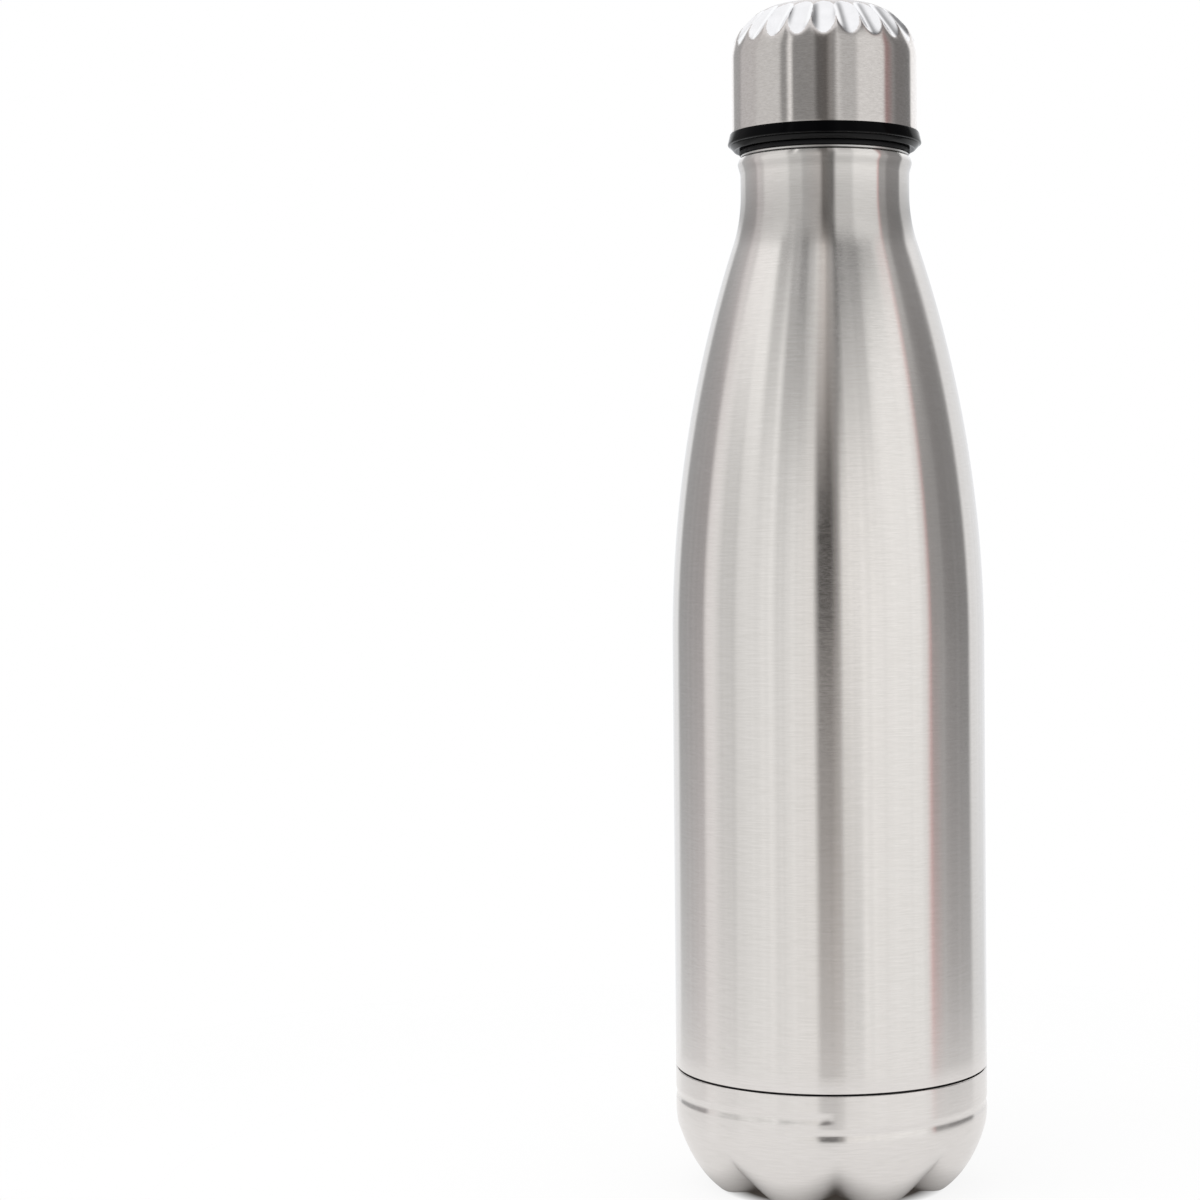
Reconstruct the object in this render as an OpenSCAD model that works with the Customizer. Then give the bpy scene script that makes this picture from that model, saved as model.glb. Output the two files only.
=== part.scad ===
// Vacuum flask with a screw cap, a hidden compartment and a screw-on petal base.
// Millimetres, +Z up. The origin is on the ground under the flask's axis, the front is -Y.
// The base stands on its lobes at z = 0. Screw threads are not modelled: the threaded
// pieces keep their plain core sizes, with the thread clearance named below.

/* [Overall] */
// Height from the ground to the top of the cap
total_h = 265; // [255:1:280]
// Outer diameter of the flask's body
body_d = 70; // [68:0.5:74]
// Height of the seam where the base unscrews from the body
seam_z = 26.5; // [25:0.5:32]
// Height where the straight body ends and the shoulder begins
shoulder_z = 121.5; // [115:0.5:130]

/* [Neck] */
// Outer diameter of the straight neck
neck_d = 37.8; // [37:0.1:39]
// Radius of the concave curve between shoulder and neck
throat_r = 35; // [25:1:40]
// Length of the straight neck between that curve and the bead
neck_len = 5.1; // [4:0.1:8]
// Height of the closed cap above the drinking lip
lip_drop = 34.3; // [32:0.1:37]
// Height of the rolled bead under the lip
bead_h = 3.9; // [3:0.1:5]
// How far the bead stands out of the neck
bead_out = 0.65; // [0.4:0.05:1]
// Bore of the neck, where the plug screws in
mouth_d = 33.2; // [32:0.1:33.6]

/* [Steel] */
// Wall of the outer shell
shell_wall = 0.6; // [0.4:0.05:0.8]
// Wall of the inner flask
flask_wall = 0.5; // [0.4:0.05:0.7]
// Wall of the steel base
base_wall = 0.7; // [0.5:0.05:0.8]
// Wall of the cap's straight skirt
cap_wall = 0.5; // [0.4:0.05:0.7]
// Evacuated gap between outer shell and inner flask
vacuum_gap = 2.2; // [1.8:0.1:2.6]

/* [Inner flask] */
// Height of the inner flask's lowest point
flask_z = 95; // [94:0.5:98]
// Radius of the inner flask's bottom corner
flask_corner_r = 9; // [6:0.5:12]
// Radius of the inner flask's throat curve
flask_throat_r = 30; // [24:1:36]
// Thickness of the inner flask's rim, which covers the lip
rim_h = 0.5; // [0.4:0.1:0.8]

/* [Vacuum bottom] */
// Height of the disc that closes the vacuum space
bulkhead_z = 90; // [89:0.5:91]
// Depth of the disc's welded skirt
bulkhead_skirt = 6; // [4:0.5:8]
// Diameter of the dimple that holds the sealing bead
dimple_d = 12; // [9:0.5:14]
// Height of the dimple
dimple_h = 2; // [1.5:0.1:2.5]
// Diameter of the evacuation hole in the dimple
vent_d = 1.6; // [1.2:0.1:2]
// Diameter of the sealing bead over the hole
bead_seal_d = 5; // [4:0.5:6]
// Diameter of the getter capsule
getter_d = 8; // [6:0.5:9]
// Height of the getter capsule
getter_h = 1.8; // [1.4:0.1:2.2]
// Distance of the getter from the axis
getter_off = 18; // [14:1:22]

/* [Hidden compartment] */
// Height of the compartment's mouth inside the base
mouth_z = 13; // [12.5:0.25:14]
// Height of the compartment's closed top
compartment_top_z = 80; // [70:1:82]
// Wall of the clear cup
cup_wall = 1.4; // [1.2:0.1:1.8]
// Radial height of the thread on the clear collar
collar_thread = 1; // [0.8:0.05:1.1]
// Radial play between the collar's thread and the base's wall
thread_play = 0.4; // [0.3:0.05:0.6]
// Height of the seal ring round the collar
seal_h = 1.8; // [1.4:0.1:2.2]

/* [Petal base] */
// Number of lobes round the base
petal_count = 8; // [6:1:10]
// Turn of the lobes from a crease at dead front, degrees
petal_turn = 2; // [-10:0.5:10]
// Height where the straight wall ends and the bowl curves in
bowl_z = 17.75; // [16.5:0.25:19]
// Radius of the bowl's curve along a lobe
bowl_r = 22; // [20:0.5:24]
// Radius at the outer edge of a lobe's foot
foot_r = 2.5; // [2:0.25:4]
// Distance from the axis to the inner edge of a lobe's foot
foot_in = 17.5; // [15:0.5:19]
// Slope of a foot before its flat is cut: how far its inner edge dips under the ground
foot_dip = 0.5; // [0.3:0.05:0.7]
// Height of the crease where it leaves the bowl
crease_z = 14; // [13:0.25:15]
// Lowest height of a crease's floor
crease_low = 0.8; // [0.6:0.1:3]
// Radius of a crease's sweep from the bowl to under the base
crease_r = 24; // [21:0.5:26]
// Height of the base's hollow centre above the ground
centre_h = 5.5; // [4.5:0.25:7]
// Distance from the axis where the lobes run out into the hollow centre
centre_r = 9; // [7:0.5:12]
// Fullness of a lobe between its creases: 1 is a plain wave, less is fuller
petal_full = 0.85; // [0.6:0.05:1]

/* [Cap] */
// Outer diameter of the cap's steel shell
cap_d = 42.2; // [41:0.1:44]
// Radius of the cap's rounded shoulder
dome_r = 12; // [10:0.5:13]
// Angle up the rounded shoulder where the flat crown takes over
crown_a = 75; // [68:1:80]
// Thickness of the dome under the flutes' crests
dome_wall = 1.7; // [1.5:0.05:2]
// Number of polished flutes round the dome
flute_count = 22; // [18:1:26]
// Radius of the cutter that leaves a flute
flute_r = 3.4; // [3:0.1:4]
// Angle up the rounded shoulder of a flute's lower end
flute_low_a = 13; // [8:1:18]
// Angle up the rounded shoulder of a flute's upper end
flute_high_a = 67; // [60:1:72]

/* [Plug] */
// Diameter of the black flange under the cap
flange_d = 43.4; // [43:0.1:46]
// Height of the flange, up to the cap's steel edge
flange_h = 3.7; // [3:0.1:5]
// Width of the bevel under the flange
flange_bevel = 1.4; // [1:0.1:2]
// How much the flange narrows from its bevel up to the cap
flange_taper = 0.5; // [0.2:0.05:0.55]
// Outer diameter of the silicone seal under the flange
cap_seal_d = 38.2; // [37:0.1:39]
// Height of the silicone seal
cap_seal_h = 1; // [0.8:0.1:2]
// Length of the plug below the flange
plug_len = 21; // [18:0.5:25]
// Wall of the plug and of the sleeve in the cap
plug_wall = 1.6; // [1.2:0.1:2]
// Radial height of the plug's thread
plug_thread = 0.5; // [0.4:0.05:0.6]
// Height of the plug's sleeve inside the steel cap
sleeve_h = 15; // [10:0.5:16]

/* [Clearances] */
// Gap between the base's rim and the body's edge
seam_gap = 0.4; // [0.25:0.05:0.5]
// Gap between pieces that are welded or glued to one another
joint_gap = 0.05; // [0.03:0.01:0.1]
// Gap between pieces that slide past one another
run_gap = 0.2; // [0.15:0.05:0.3]
// Gap between a seal and the seat it is lifted from
seal_gap = 0.1; // [0.05:0.05:0.2]

/* [Hidden] */

steel = [0.76, 0.75, 0.74];
bare_steel = [0.66, 0.67, 0.68];
black = [0.08, 0.08, 0.09];
clear_plastic = [0.85, 0.9, 0.92, 0.45];
foam_white = [0.93, 0.92, 0.88];

$fn = 96;
tiny = 0.01;

body_r = body_d / 2;
neck_r = neck_d / 2;
shell_in_r = body_r - shell_wall;
shell_z0 = seam_z + seam_gap;

lip_z = total_h - lip_drop;
lip_under_z = lip_z - rim_h;
bead_z = lip_z - bead_h;
bead_r = neck_r + bead_out;

// Radius of the shoulder's long convex curve, which runs from the straight body into the
// throat's curve and so leaves the straight neck its length
shoulder_rise = bead_z - neck_len - shoulder_z;
shoulder_r = (pow(shoulder_rise, 2) + pow(neck_r + throat_r - body_r, 2) - pow(throat_r, 2))
    / (2 * (body_r - neck_r));

// Height and angle where a shoulder's curve runs into a throat's curve
function throat_height(curve_r, throat, neck) =
    shoulder_z + sqrt(pow(curve_r + throat, 2) - pow(neck + throat - (body_r - shoulder_r), 2));
function throat_angle(curve_r, throat, neck) =
    asin((throat_height(curve_r, throat, neck) - shoulder_z) / (curve_r + throat));

throat_z = throat_height(shoulder_r, throat_r, neck_r);
throat_a = throat_angle(shoulder_r, throat_r, neck_r);

flask_in_r = mouth_d / 2;
flask_neck_r = flask_in_r + flask_wall;
flask_r = shell_in_r - vacuum_gap;
flask_curve_r = shoulder_r - shell_wall - vacuum_gap;
flask_throat_z = throat_height(flask_curve_r, flask_throat_r, flask_neck_r);
flask_throat_a = throat_angle(flask_curve_r, flask_throat_r, flask_neck_r);

base_in_r = body_r - base_wall;
cup_r = shell_in_r - joint_gap;
collar_r = base_in_r - thread_play - collar_thread;
collar_in_r = collar_r - cup_wall;
cup_in_r = cup_r - cup_wall;
step_z = shell_z0 + seal_gap;

cap_r = cap_d / 2;
dome_x = cap_r - dome_r;
crown_edge = [dome_x + dome_r * cos(crown_a), dome_r * sin(crown_a)];
crown_r = crown_edge[0] / cos(crown_a);
crown_rise = crown_r * (1 - sin(crown_a));
dome_z = total_h - crown_rise - crown_edge[1];

flange_r = flange_d / 2;
flange_z = lip_z + seal_gap + cap_seal_h;
cap_z = flange_z + flange_h;
plug_r = flask_in_r - run_gap - plug_thread;
plug_z = flange_z - plug_len;
plug_in_r = plug_r - plug_wall;
sleeve_r = cap_r - cap_wall - joint_gap;

// Points of an arc about c, from angle a0 to a1
function arc(c, r, a0, a1, n = 10) =
    [for (i = [0:n]) let (a = a0 + (a1 - a0) * i / n) [c[0] + r * cos(a), c[1] + r * sin(a)]];

function reversed(path) = [for (i = [len(path) - 1:-1:0]) path[i]];

// Side of the body, shoulder and neck, at a depth under the outer surface
function shell_side(depth, z0, z1) = concat(
    [[body_r - depth, z0]],
    arc([body_r - shoulder_r, shoulder_z], shoulder_r - depth, 0, throat_a, 28),
    arc([neck_r + throat_r, throat_z], throat_r + depth, 180 + throat_a, 180, 8),
    [[neck_r - depth, z1]]);

// Side of the inner flask, from its bottom corner to its neck
function flask_side(depth) = concat(
    arc([flask_r - flask_corner_r, flask_z + flask_corner_r], flask_corner_r - depth, -90, 0, 8),
    arc([body_r - shoulder_r, shoulder_z], flask_curve_r - depth, 0, flask_throat_a, 28),
    arc([flask_neck_r + flask_throat_r, flask_throat_z], flask_throat_r + depth,
        180 + flask_throat_a, 180, 8));

// Distance along a path up to each of its points
function run_lengths(path, i = 0, sum = 0) = i >= len(path) ? [] : concat(
    [sum + (i == 0 ? 0 : norm(path[i] - path[i - 1]))],
    run_lengths(path, i + 1, sum + (i == 0 ? 0 : norm(path[i] - path[i - 1]))));

// The same path with n equal steps
function resampled(path, n) =
    let (runs = run_lengths(path), last = runs[len(runs) - 1],
         xs = [for (i = [0:len(path) - 1]) [runs[i], path[i][0]]],
         zs = [for (i = [0:len(path) - 1]) [runs[i], path[i][1]]])
    [for (i = [0:n]) [lookup(last * i / n, xs), lookup(last * i / n, zs)]];

// The path moved to its inner side by d: up and towards the axis
function inset(path, d) = [for (i = [0:len(path) - 1])
    let (before = path[max(i - 1, 0)], after = path[min(i + 1, len(path) - 1)],
         along = (after - before) / norm(after - before))
    [max(path[i][0] + d * along[1], 0), path[i][1] - d * along[0]]];

// Outline of the base along the middle of a lobe. It dips under the ground, where the flat
// of the foot is cut.
foot_c = [body_r - bowl_r + sqrt(pow(bowl_r - foot_r, 2) - pow(bowl_z - foot_r + tiny, 2)),
          foot_r - tiny];
foot_a = atan2(foot_c[1] - bowl_z, foot_c[0] - (body_r - bowl_r));
// The hollow's edge lies a little lower than its centre
centre_edge = [centre_r, centre_h - 0.6];
lobe_path = concat(
    arc([body_r - bowl_r, bowl_z], bowl_r, 0, foot_a, 14),
    arc(foot_c, foot_r, foot_a, -90, 5),
    arc([foot_in, foot_r - foot_dip], foot_r, -90, -135, 4),
    [centre_edge, [0, centre_h]]);

// Outline of the base along a crease: it leaves the bowl at crease_z and sweeps inwards
crease_a = asin((crease_z - bowl_z) / bowl_r);
crease_start = [body_r - bowl_r + bowl_r * cos(crease_a), crease_z];
crease_c = [crease_start[0] - sqrt(pow(crease_r, 2) - pow(crease_low + crease_r - crease_z, 2)),
            crease_low + crease_r];
crease_start_a = atan2(crease_z - crease_c[1], crease_start[0] - crease_c[0]);
crease_end_a = -86;
crease_path = concat(
    arc([body_r - bowl_r, bowl_z], bowl_r, 0, crease_a, 4),
    arc(crease_c, crease_r, crease_start_a, crease_end_a, 12),
    [centre_edge, [0, centre_h]]);

lobe_steps = 12;
columns = petal_count * lobe_steps;

// Share of the way from crease (0) to the middle of a lobe (1)
function lobe_share(a) = pow(abs(sin(petal_count * a / 2)), petal_full);

// One skin of the petals: rings of points from the wall inwards, then the centre point
function petal_rings(lobe, crease, shrink) = [for (i = [0:len(lobe) - 2]) for (j = [0:columns - 1])
    let (a = 360 * j / columns, p = crease[i] + (lobe[i] - crease[i]) * lobe_share(a),
         r = p[0] + (i == 0 ? shrink : 0))
    [r * cos(a + petal_turn - 90), r * sin(a + petal_turn - 90), p[1]]];

// Two triangles between neighbouring rings
function band(first, i, j) =
    let (a = first + i * columns + j, b = first + i * columns + (j + 1) % columns)
    [[a, b, b + columns], [a, b + columns, a + columns]];

function flipped(faces) = [for (f = faces) [f[2], f[1], f[0]]];

// Pressed bowl of the base, from the straight wall down: a loft between the two outlines
module petal_bowl() {
    steps = 18;
    // The bowl's top edge is sunk into the straight wall's lower end
    edge = 0.06;
    lobe = resampled(lobe_path, steps);
    crease = resampled(crease_path, steps);
    outer_points = petal_rings(lobe, crease, -edge);
    inner_points = petal_rings(inset(lobe, base_wall), inset(crease, base_wall), edge);
    outer_pole = len(outer_points);
    inner_first = outer_pole + 1;
    inner_pole = inner_first + len(inner_points);
    points = concat(outer_points, [[0, 0, lobe[steps][1]]],
                    inner_points, [[0, 0, lobe[steps][1] + base_wall]]);
    last = (steps - 1) * columns;
    outer_faces = concat(
        [for (i = [0:steps - 2]) for (j = [0:columns - 1]) each band(0, i, j)],
        [for (j = [0:columns - 1]) [last + j, last + (j + 1) % columns, outer_pole]]);
    inner_faces = concat(
        [for (i = [0:steps - 2]) for (j = [0:columns - 1]) each band(inner_first, i, j)],
        [for (j = [0:columns - 1])
            [inner_first + last + j, inner_first + last + (j + 1) % columns, inner_pole]]);
    top_faces = [for (j = [0:columns - 1])
        let (k = (j + 1) % columns)
        each [[j, inner_first + j, inner_first + k], [j, inner_first + k, k]]];
    polyhedron(points, concat(outer_faces, flipped(inner_faces), top_faces));
}

module base_shell() {
    overlap = 0.5;
    ground = 4 * body_d;
    color(steel)
    difference() {
        union() {
            translate([0, 0, bowl_z - overlap])
            difference() {
                cylinder(r = body_r, h = seam_z - bowl_z + overlap);
                translate([0, 0, -tiny]) cylinder(r = base_in_r, h = seam_z);
            }
            petal_bowl();
        }
        translate([-ground / 2, -ground / 2, -ground]) cube(ground);
    }
}

module compartment_seal() {
    color(black)
    translate([0, 0, shell_z0 - seal_h])
    difference() {
        cylinder(r = base_in_r - run_gap, h = seal_h);
        translate([0, 0, -tiny]) cylinder(r = collar_r + seal_gap, h = seal_h + 2 * tiny);
    }
}

module outer_shell() {
    // The bead's rounded edges, and how far it leans in towards the lip
    bead_edge = 0.6;
    bead_lean = 0.25;
    // The wall thickens under the lip, where the inner flask's rim is welded on
    lip_land = 0.7;
    lip_ramp = 1.1;
    lip_in_r = flask_neck_r + joint_gap;
    color(steel)
    rotate_extrude()
    polygon(concat(
        shell_side(0, shell_z0, bead_z),
        arc([bead_r - bead_edge, bead_z + bead_edge], bead_edge, -90, 0, 5),
        arc([bead_r - bead_lean - bead_edge, lip_under_z - bead_edge], bead_edge, 0, 90, 5),
        [[lip_in_r, lip_under_z], [lip_in_r, lip_under_z - lip_land],
         [neck_r - shell_wall, lip_under_z - lip_land - lip_ramp]],
        reversed(shell_side(shell_wall, shell_z0, bead_z))));
}

module inner_flask() {
    // Broken edges of the rim, outside and at the mouth
    rim_edge = 0.2;
    mouth_edge = 0.3;
    color(bare_steel)
    rotate_extrude()
    polygon(concat(
        [[0, flask_z]],
        flask_side(0),
        [[flask_neck_r, lip_under_z], [neck_r, lip_under_z], [neck_r, lip_z - rim_edge],
         [neck_r - rim_edge, lip_z], [flask_in_r + mouth_edge, lip_z],
         [flask_in_r, lip_z - mouth_edge]],
        reversed(flask_side(flask_wall)),
        [[0, flask_z + flask_wall]]));
}

module vacuum_bottom() {
    rim_r = shell_in_r - joint_gap;
    bend_r = 2;
    dimple_r = dimple_d / 2;
    color(bare_steel)
    rotate_extrude()
    polygon(concat(
        [[vent_d / 2, bulkhead_z + dimple_h], [dimple_r - dimple_h, bulkhead_z + dimple_h],
         [dimple_r, bulkhead_z]],
        arc([rim_r - bend_r, bulkhead_z - bend_r], bend_r, 90, 0, 5),
        [[rim_r, bulkhead_z - bulkhead_skirt], [rim_r - shell_wall, bulkhead_z - bulkhead_skirt]],
        arc([rim_r - bend_r, bulkhead_z - bend_r], bend_r - shell_wall, 0, 90, 5),
        [[dimple_r, bulkhead_z - shell_wall],
         [dimple_r - dimple_h, bulkhead_z + dimple_h - shell_wall],
         [vent_d / 2, bulkhead_z + dimple_h - shell_wall]]));
}

module getter() {
    color(bare_steel)
    translate([getter_off, 0, bulkhead_z])
    rotate_extrude()
    polygon([[0, 0], [getter_d / 2, 0], [getter_d / 2, getter_h / 3],
             [getter_d / 2 - getter_h / 3, getter_h], [0, getter_h]]);
}

module vacuum_seal_bead() {
    seat_z = bulkhead_z + dimple_h - shell_wall;
    color([0.35, 0.3, 0.25])
    intersection() {
        translate([0, 0, seat_z]) sphere(d = bead_seal_d);
        translate([-bead_seal_d, -bead_seal_d, seat_z - 2 * bead_seal_d]) cube(2 * bead_seal_d);
        translate([0, 0, seat_z - bead_seal_d / 3]) cylinder(d = bead_seal_d, h = bead_seal_d);
    }
}

module compartment_cup() {
    edge = 0.4;
    corner = 4;
    color(clear_plastic)
    rotate_extrude()
    polygon(concat(
        arc([collar_r - edge, mouth_z + edge], edge, -90, 0, 4),
        [[collar_r, step_z], [cup_r, step_z]],
        arc([cup_r - corner, compartment_top_z - corner], corner, 0, 90, 6),
        [[0, compartment_top_z], [0, compartment_top_z - cup_wall]],
        arc([cup_r - corner, compartment_top_z - corner], corner - cup_wall, 90, 0, 6),
        [[cup_in_r, step_z + cup_wall + cup_in_r - collar_in_r], [collar_in_r, step_z + cup_wall]],
        arc([collar_in_r + edge, mouth_z + edge], edge, 180, 270, 4)));
}

module cap_seal() {
    lip_seat = 0.3;
    color(black)
    rotate_extrude()
    translate([0, lip_z + seal_gap])
    polygon([[plug_r + run_gap, 0], [cap_seal_d / 2 - lip_seat, 0], [cap_seal_d / 2, lip_seat],
             [cap_seal_d / 2, cap_seal_h], [plug_r + run_gap, cap_seal_h]]);
}

module plug() {
    // Chamfer at the plug's foot, and the broken edge of its flange
    foot = 1.2;
    flange_edge = 0.3;
    color(black)
    rotate_extrude()
    polygon(concat(
        [[0, plug_z], [plug_r - foot, plug_z], [plug_r, plug_z + foot], [plug_r, flange_z],
         [flange_r - flange_bevel, flange_z]],
        arc([flange_r - flange_edge, flange_z + flange_bevel], flange_edge, -45, 0, 3),
        [[flange_r - flange_taper, cap_z], [sleeve_r, cap_z],
         [sleeve_r, cap_z + sleeve_h], [sleeve_r - plug_wall, cap_z + sleeve_h],
         [sleeve_r - plug_wall, cap_z], [plug_in_r, cap_z],
         [plug_in_r, plug_z + plug_wall], [0, plug_z + plug_wall]]));
}

module plug_foam() {
    // The foam stays under the sleeve's open end
    top_z = cap_z + sleeve_h - 1;
    sleeve_in_r = sleeve_r - plug_wall - run_gap;
    color(foam_white)
    rotate_extrude()
    polygon([[0, plug_z + plug_wall], [plug_in_r - run_gap, plug_z + plug_wall],
             [plug_in_r - run_gap, cap_z + joint_gap],
             [sleeve_in_r, cap_z + joint_gap], [sleeve_in_r, top_z], [0, top_z]]);
}

// Cutters of the polished flutes: straight rods laid across the dome's rounded shoulder
module flute_rods() {
    low = [dome_x + dome_r * cos(flute_low_a), dome_z + dome_r * sin(flute_low_a)];
    high = [dome_x + dome_r * cos(flute_high_a), dome_z + dome_r * sin(flute_high_a)];
    lean = atan2(low[0] - high[0], high[1] - low[1]);
    middle = (low + high) / 2;
    rod = 30;
    for (i = [0:flute_count - 1])
    rotate(360 * i / flute_count - 90)
    translate([middle[0] + flute_r * cos(lean), 0, middle[1] + flute_r * sin(lean)])
    rotate([0, -lean, 0])
    cylinder(r = flute_r, h = rod, center = true, $fn = 64);
}

module cap_shell() {
    edge = 0.2;
    skirt_in_r = cap_r - cap_wall;
    dome_in_r = dome_r - dome_wall;
    color(steel)
    difference() {
        rotate_extrude()
        polygon(concat(
            [[skirt_in_r, cap_z], [cap_r - edge, cap_z], [cap_r, cap_z + edge]],
            arc([dome_x, dome_z], dome_r, 0, crown_a, 16),
            arc([0, total_h - crown_r], crown_r, crown_a, 90, 5),
            [[0, total_h - dome_wall]],
            arc([0, total_h - crown_r], crown_r - dome_wall, 90, crown_a, 5),
            arc([dome_x, dome_z], dome_in_r, crown_a, 0, 12),
            [[skirt_in_r, dome_z - (dome_wall - cap_wall)]]));
        flute_rods();
    }
}

base_shell();
compartment_seal();
outer_shell();
inner_flask();
vacuum_bottom();
getter();
vacuum_seal_bead();
compartment_cup();
cap_seal();
plug();
plug_foam();
cap_shell();
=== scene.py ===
"""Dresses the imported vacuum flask: brushed steel, polished flutes, rolled threads, white studio."""

import logging
import math
from dataclasses import dataclass
from enum import Enum
from typing import Sequence

import bpy
import numpy as np
from mathutils import Matrix


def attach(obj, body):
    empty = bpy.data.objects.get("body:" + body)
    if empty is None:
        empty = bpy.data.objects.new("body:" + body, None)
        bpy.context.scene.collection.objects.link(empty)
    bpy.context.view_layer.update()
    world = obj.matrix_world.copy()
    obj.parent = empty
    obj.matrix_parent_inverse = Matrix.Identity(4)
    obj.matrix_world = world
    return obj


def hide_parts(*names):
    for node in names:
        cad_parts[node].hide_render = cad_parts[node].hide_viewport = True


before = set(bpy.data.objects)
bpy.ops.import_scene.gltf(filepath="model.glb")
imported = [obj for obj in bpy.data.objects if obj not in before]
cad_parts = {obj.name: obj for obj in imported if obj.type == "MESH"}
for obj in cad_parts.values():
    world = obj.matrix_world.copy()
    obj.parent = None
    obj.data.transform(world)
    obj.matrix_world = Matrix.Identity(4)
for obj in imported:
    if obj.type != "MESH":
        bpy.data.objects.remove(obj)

log = logging.getLogger("flask")
MM = 0.001
SAME_POINT = 1e-4  # points closer than this, in mm, are one
WELD = 2e-6  # the same for a finished mesh, in m
BAND = 0.05  # what belongs to a turned wall lies this close to its radius, in mm
NOISE = (0.3, 0.7)  # the span that most noise values fill
Point = tuple[float, float]
Colour = tuple[float, float, float]
Piece = bpy.types.Object
Socket = bpy.types.NodeSocket


class Body(str, Enum):
    """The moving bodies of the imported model."""

    BASE = "base"
    BODY_LIFT = "body_lift"
    BODY = "body"
    CAP_LIFT = "cap_lift"
    CAP = "cap"


class Slot(str, Enum):
    """Names of the record's material slots, one given with each new piece."""

    BRUSHED = "brushed_body"
    INNER = "inner_steel"
    CLEAR = "clear_plastic"
    SILICONE = "silicone"
    BLACK = "black_plastic"


# Profiles


def arc(c: Point, r: float, a0: float, a1: float, n: int) -> list[Point]:
    """Points of an arc in the profile's plane.

    Args:
        c: Centre, as distance from the axis and height, in mm.
        r: Radius in mm.
        a0: First angle in degrees.
        a1: Last angle in degrees.
        n: Number of steps.

    Returns:
        n + 1 points.
    """
    angles = [math.radians(a0 + (a1 - a0) * i / n) for i in range(n + 1)]
    return [(c[0] + r * math.cos(a), c[1] + r * math.sin(a)) for a in angles]


def line(a: Point, b: Point, n: int) -> list[Point]:
    """Points from a to b in n steps, both ends included."""
    return [(a[0] + (b[0] - a[0]) * i / n, a[1] + (b[1] - a[1]) * i / n) for i in range(n + 1)]


def tidy(path: Sequence[Point]) -> list[Point]:
    """The same path without points that repeat the one before."""
    kept = [path[0]]
    for p in path[1:]:
        if math.dist(p, kept[-1]) > SAME_POINT:
            kept.append(p)
    return kept


def resampled(path: Sequence[Point], n: int) -> np.ndarray:
    """The path in n equal steps along its length.

    Args:
        path: Points of the path, in mm.
        n: Number of steps.

    Returns:
        An array of n + 1 points.
    """
    points = np.array(path, float)
    runs = np.concatenate([[0], np.cumsum(np.linalg.norm(np.diff(points, axis=0), axis=1))])
    at = np.linspace(0, runs[-1], n + 1)
    return np.stack([np.interp(at, runs, points[:, k]) for k in (0, 1)], axis=1)


# Modelling


def deselected() -> None:
    """Leaves nothing selected, in object mode."""
    if bpy.context.object and bpy.context.object.mode != "OBJECT":
        bpy.ops.object.mode_set(mode="OBJECT")
    bpy.ops.object.select_all(action="DESELECT")


def chosen(piece: Piece) -> None:
    """Leaves this piece alone selected and active."""
    deselected()
    piece.select_set(True)
    bpy.context.view_layer.objects.active = piece


def turned(name: str, profile: Sequence[Point], steps: int, closed: bool) -> Piece:
    """Turns a profile round the flask's axis, as on a lathe.

    Args:
        name: Name of the piece.
        profile: Points of the profile, as distance from the axis and height, in mm.
        steps: Number of columns round the axis.
        closed: Whether the last point is joined to the first.

    Returns:
        The piece, with its normals outwards.
    """
    path = tidy(profile)
    if closed:
        path = path + [path[0]]
    deselected()
    bpy.ops.mesh.primitive_plane_add(size=MM, location=(0, 0, 0))
    piece = bpy.context.active_object
    piece.name = name
    piece.data.name = name
    bpy.ops.object.mode_set(mode="EDIT")
    bpy.ops.mesh.select_all(action="SELECT")
    bpy.ops.mesh.merge(type="CENTER")
    bpy.ops.transform.translate(value=(path[0][0] * MM, 0, path[0][1] * MM))
    for here, there in zip(path, path[1:]):
        step = ((there[0] - here[0]) * MM, 0, (there[1] - here[1]) * MM)
        bpy.ops.mesh.extrude_vertices_move(TRANSFORM_OT_translate={"value": step})
    bpy.ops.mesh.select_all(action="SELECT")
    bpy.ops.mesh.spin(steps=steps, angle=math.tau, center=(0, 0, 0), axis=(0, 0, 1))
    bpy.ops.mesh.select_all(action="SELECT")
    bpy.ops.mesh.remove_doubles(threshold=WELD)
    bpy.ops.mesh.normals_make_consistent(inside=False)
    bpy.ops.object.mode_set(mode="OBJECT")
    return piece


def points_of(piece: Piece) -> np.ndarray:
    """The piece's points as rows, in mm."""
    flat = np.zeros(len(piece.data.vertices) * 3)
    piece.data.vertices.foreach_get("co", flat)
    return flat.reshape(-1, 3) / MM


def moved(piece: Piece, points: np.ndarray) -> None:
    """Moves the piece's points to these places, in mm."""
    piece.data.vertices.foreach_set("co", (points * MM).ravel())
    piece.data.update()


def modified(piece: Piece, kind: str, **settings: object) -> None:
    """Adds a modifier with these settings and applies it."""
    chosen(piece)
    modifier = piece.modifiers.new(kind.lower(), kind)
    for key, value in settings.items():
        setattr(modifier, key, value)
    bpy.ops.object.modifier_apply(modifier=modifier.name)


def smoothed(piece: Piece, angle: float) -> None:
    """Shades a piece smooth, apart from edges sharper than an angle in degrees."""
    chosen(piece)
    bpy.ops.object.shade_smooth_by_angle(angle=math.radians(angle))


def reported(piece: Piece, body: Body, slot: Slot, *nodes: str) -> None:
    """Puts a finished piece on its body, in place of its CAD nodes, and logs it.

    Args:
        piece: The finished piece.
        body: The body that it rides on.
        slot: A material slot of the record; not used.
        nodes: The CAD nodes that it stands for.
    """
    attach(piece, body.value)
    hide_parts(*nodes)
    triangles = sum(len(p.vertices) - 2 for p in piece.data.polygons)
    log.info("%s: %d triangles on %s", piece.name, triangles, body.value)


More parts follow.
